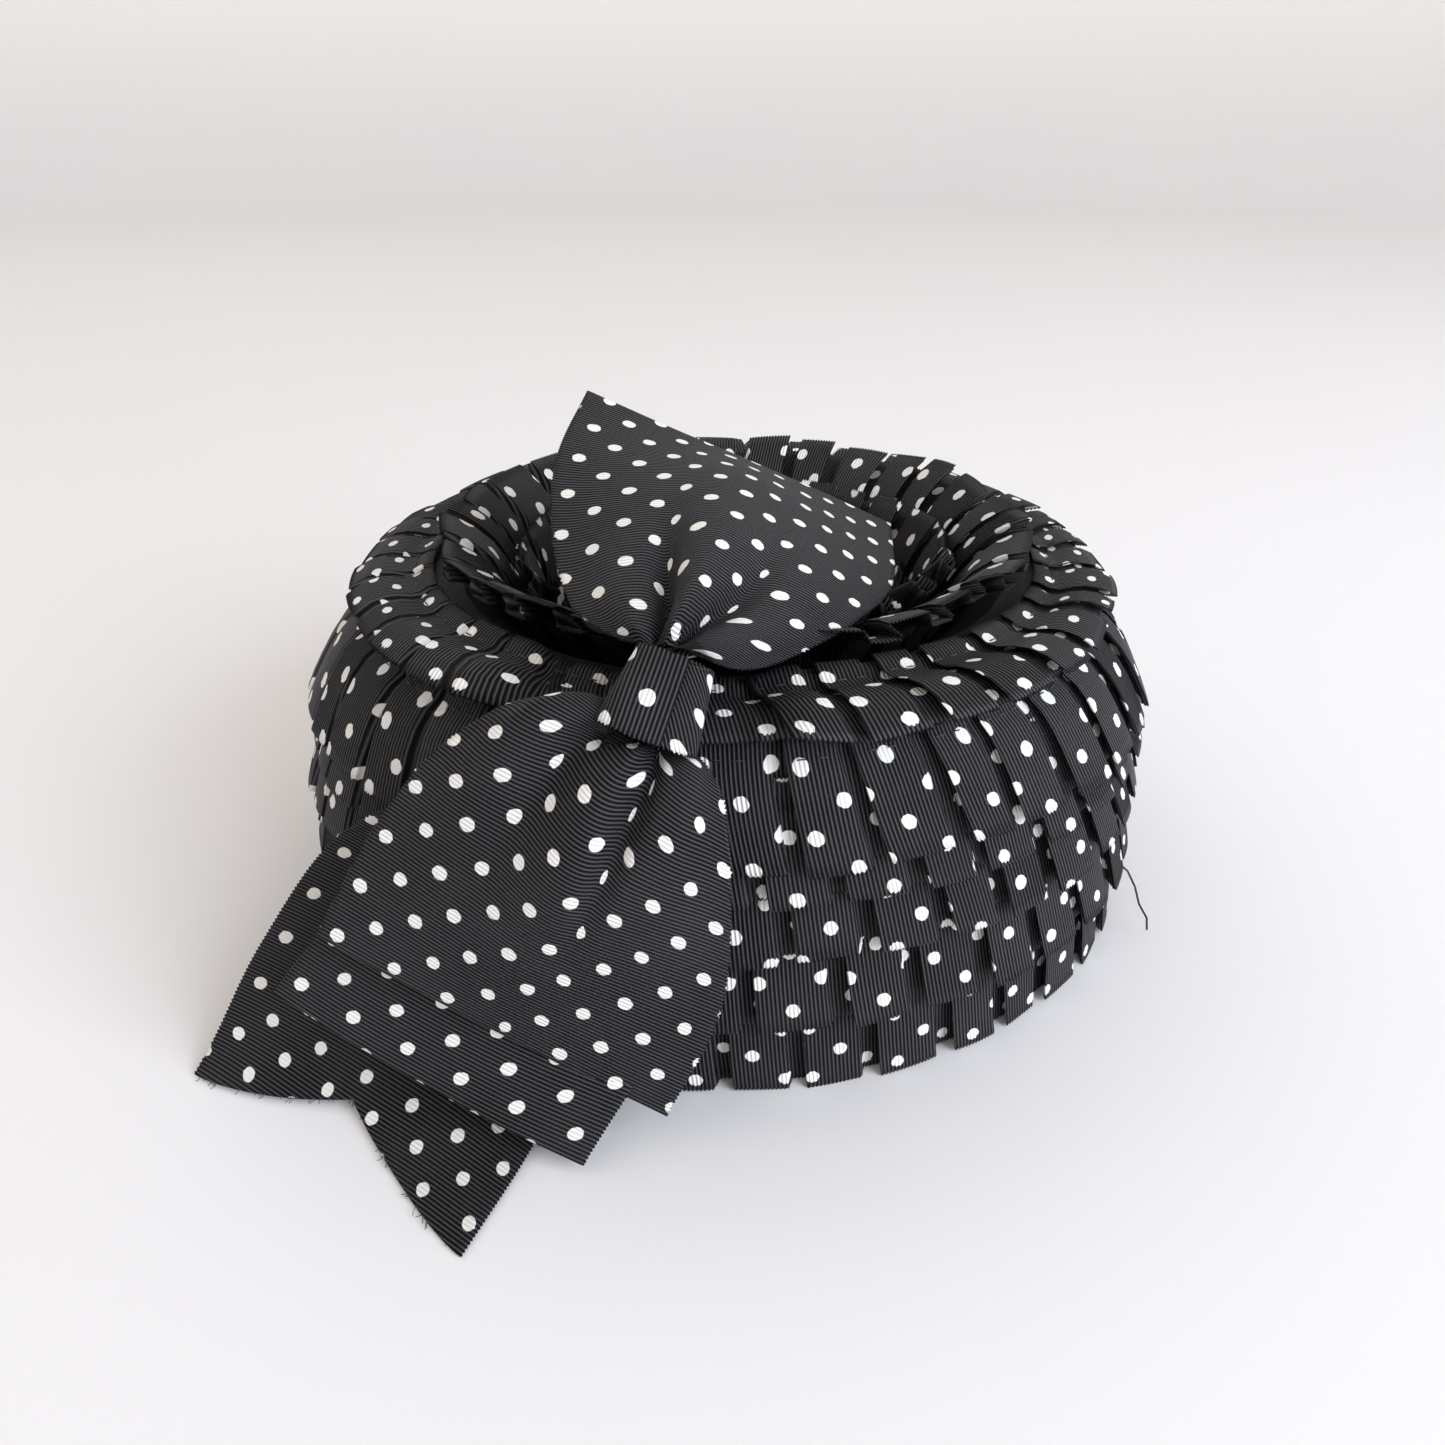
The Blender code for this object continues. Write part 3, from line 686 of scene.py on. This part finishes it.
def knot_band():
    """Narrow ribbon wrapped once round the waist, its ends lapped behind."""
    laps = 2 * math.pi * 1.08
    behind = -math.pi / 2 - 0.2
    around = np.linspace(behind, behind + laps, 150)[:, None]
    level = np.linspace(-1, 1, 15)[None, :]
    half_wide = 7.7 - 1.2 * level
    half_thick = 4.8 - 0.5 * level
    lap = 0.5 * np.clip((around - around[0]) / laps, 0, 1)
    square = (np.abs(np.cos(around)) ** 3 + np.abs(np.sin(around)) ** 3) ** (-1 / 3)
    side = (half_wide + lap) * square * np.cos(around)
    out = (half_thick + lap) * square * np.sin(around) + 0.35 * np.sin(3 * around + 2 * level)
    line = level * KNOT_RIBBON / 2 * (1 - 0.04 * np.cos(2 * around))
    grid = KNOT_CENTRE + side[..., None] * KNOT_SIDE + out[..., None] * KNOT_OUT + line[..., None] * KNOT_LINE
    bow_ribbon("bow_knot_band", "hat", grid, KNOT_RIBBON, 5)


# Inside and edge

BASE_LENGTH = math.pi * (1 + OVAL)   # once round an oval of the base's shape, for a half depth of 1


def ring_ribbon(name, node, profile, across):
    """A plain ribbon ring from a profile of (half depth, height) points, face outward along its normals."""
    profile = np.asarray(profile, float)
    length = BASE_LENGTH * profile[:, 0].max()
    count = int(length / (RIB / 2))
    angle = np.linspace(0, 2 * math.pi, count + 1)
    depth = profile[:, 0][:, None] + RIB_RELIEF * np.where(np.arange(count + 1) % 2, 1, -1)
    height = np.repeat(profile[:, 1][:, None], count + 1, 1)
    grid = np.stack([OVAL * depth * np.cos(angle), depth * np.sin(angle), height], -1)
    along = angle / (2 * math.pi) * length
    cloth = np.stack(np.broadcast_arrays(along[None, :], np.asarray(across)[:, None]), -1)
    piece = cloth_piece(name, grid, cloth, (BACK,))
    stand_for(piece, node, "hat")


def head_size_ribbon():
    inner = SHAPE[0][0] - NET - 2.1
    heights = np.linspace(22.8, 1.4, 9)
    profile = [(inner + 0.15 * math.sin(height), height) for height in heights]
    ring_ribbon("head_size_ribbon_strip", "head_size_ribbon", profile, heights)


def edge_binding():
    """Ribbon folded round the wire at the lower edge, up both sides of the net."""
    middle, turn, top = SHAPE[0][0] - 0.45, 1.6, 9.0
    under = [(middle + turn * math.cos(a), turn + turn * math.sin(a)) for a in np.linspace(0, -math.pi, 9)]
    outside = [(middle + turn, top), (middle + turn, 5.0)]
    inside = [(middle - turn, 5.0), (middle - turn, top)]
    profile = outside + under + inside
    ring_ribbon("edge_binding_ribbon", "edge_binding", profile, run_of(np.array(profile), 0))


def lining():
    """Lining cloth, gathered toward the middle of the crown."""
    runs = np.linspace(RIBBON - 2.0, SHAPE_RUN[-1] - 1.2, 40)[:, None]
    angle = np.linspace(0, 2 * math.pi, 241)[None, :]
    deep = np.clip((runs - runs[0]) / (runs[-1] - runs[0]) - 0.35, 0, 1) / 0.65
    waves = np.sin(26 * angle + 2 * np.sin(3 * angle)) + 0.5 * np.sin(47 * angle + 1.0)
    gathers = 0.5 * (1 + waves) * deep * np.exp(-((deep - 0.75) / 0.4) ** 2)
    grid = on_hat(runs, angle, -(NET + 1.9) - gathers)
    length = BASE_LENGTH * SHAPE[0][0]
    cloth = np.stack(np.broadcast_arrays(angle / (2 * math.pi) * length, runs), -1)
    piece = cloth_piece("lining_sheet", grid, cloth, (lining_material(),))
    stand_for(piece, "lining", "hat")


def keep_nodes():
    """Better materials on the CAD pieces whose shape is already right."""
    net, steel = net_material(), wire_material()
    choices = {"foundation_side": net, "foundation_crown": net, "edge_wire": steel, "loose_thread": THREAD,
               "crown_centre_disc": net, "bow_core": net, "bow_stay": net}
    for node, mat in choices.items():
        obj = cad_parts[node]
        obj.data.materials.clear()
        obj.data.materials.append(mat)


# Room, light and camera, in metres

FLOOR_FLAT = 2.0                 # from the middle to where the floor starts to curve up
WALL_TOP = 2.4


def stage():
    """A pale floor that curves up into a wall all round, far from the object."""
    curve = [(0.0, 0.0), (FLOOR_FLAT, 0.0)]
    curve += [(FLOOR_FLAT + math.sin(a), 1 - math.cos(a)) for a in np.linspace(0.1, math.pi / 2, 16)]
    curve.append((FLOOR_FLAT + 1.0, WALL_TOP))
    angle = np.linspace(0, 2 * math.pi, 73)
    radius, height = (np.array(curve)[:, k][:, None] for k in (0, 1))
    grid = np.stack(np.broadcast_arrays(radius * np.cos(angle), radius * np.sin(angle), height), -1)
    floor = link("floor", grid_mesh("floor", grid))
    n = Nodes("pale_floor")
    place = n.place()
    tone = n.mix(n.noise(place, scale=3.0, detail=2.0), (0.80, 0.79, 0.83, 1), (0.83, 0.82, 0.85, 1))
    wall = n.step(n.parts(place)[2], 0.02, 0.5)
    colour = n.mix(wall, tone, (0.97, 0.97, 0.98, 1))
    floor.data.materials.append(n.out(Base_Color=colour, Roughness=0.6))


def area_light(name, place, aim, size, power, colour):
    data = bpy.data.lights.new(name, "AREA")
    data.shape = "RECTANGLE"
    data.size, data.size_y = size
    data.energy = power
    data.color = colour
    light = link(name, data)
    light.location = place
    light.rotation_euler = (Vector(place) - Vector(aim)).to_track_quat("Z", "Y").to_euler()


def lights():
    """A cool window in front on the right, a weak warm fill, and a white room in plain display tones."""
    aim = (0, 0, 0.05)
    area_light("window", (1.25, -0.95, 0.8), aim, (1.2, 1.2), 32.0, (0.82, 0.91, 1.0))
    area_light("room_fill", (-1.1, 0.3, 1.3), aim, (1.6, 1.4), 3.0, (1.0, 0.88, 0.70))
    world = bpy.data.worlds.new("room")
    world.use_nodes = True
    background = world.node_tree.nodes["Background"]
    background.inputs["Color"].default_value = (1.0, 0.94, 0.855, 1)
    background.inputs["Strength"].default_value = 0.78
    bpy.context.scene.world = world
    bpy.context.scene.view_settings.view_transform = "Standard"


def camera():
    data = bpy.data.cameras.new("camera")
    data.lens = 27.03
    data.sensor_width = 36.0
    data.clip_start = 0.01
    eye = link("camera", data)
    eye.location = (HAT_AXIS.x * MM, (HAT_AXIS.y - 242.0) * MM, 0.177)
    eye.rotation_euler = (math.radians(60.0), 0, 0)
    bpy.context.scene.camera = eye


def main():
    keep_nodes()
    for seed, name in enumerate(ROWS):
        pleated_row(name, 11 + seed)
    head_size_ribbon()
    edge_binding()
    lining()
    tail()
    second_loop()
    lower_loop()
    upper_loop()
    knot_band()
    stage()
    lights()
    camera()


main()
